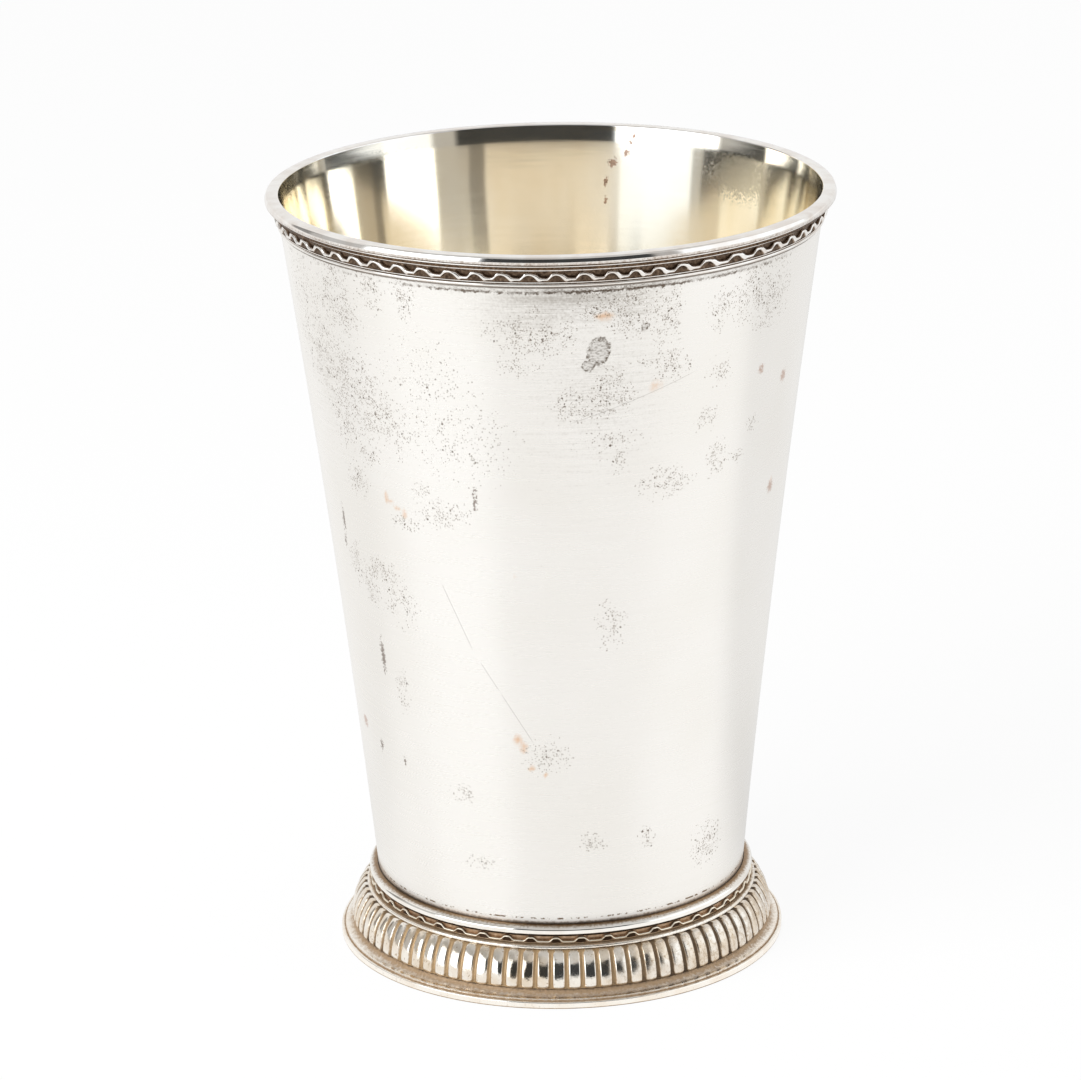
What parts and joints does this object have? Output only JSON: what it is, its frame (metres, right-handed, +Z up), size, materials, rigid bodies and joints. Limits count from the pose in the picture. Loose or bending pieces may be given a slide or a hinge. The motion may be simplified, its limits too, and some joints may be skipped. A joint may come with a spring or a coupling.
{
  "type": "silver beaker",
  "caption": "Tapered silver drinking beaker with a gilt inside, a moulded rim with a wave border, and a low stacked foot with a gadrooned ring.",
  "frame": {"origin": "centre of the circle that the foot stands on", "axes": "+Z up along the beaker's axis, -Y towards the viewer of the picture"},
  "size_m": [0.09, 0.09, 0.125],
  "materials": {
    "cup_silver": "satin silver with fine hairline brushing, small pits and stains",
    "gilt": "pale gold gilding, finely brushed",
    "bright_silver": "polished silver",
    "tarnished_silver": "silver relief with dark tarnish in the sunk ground",
    "gadroon_silver": "polished silver lobes with tan tarnish in the grooves"
  },
  "bodies": {
    "root": {"cup_wall": "cup_silver", "cup_floor": "gilt", "rim_lip_wire": "bright_silver", "rim_wave_strip": "tarnished_silver", "rim_bead_wire": "bright_silver", "foot_collar_wire": "bright_silver", "foot_wave_strip": "tarnished_silver", "foot_fillet_wire": "bright_silver", "foot_gadroon_ring": "gadroon_silver", "foot_base_ring": "bright_silver"}
  },
  "joints": []
}
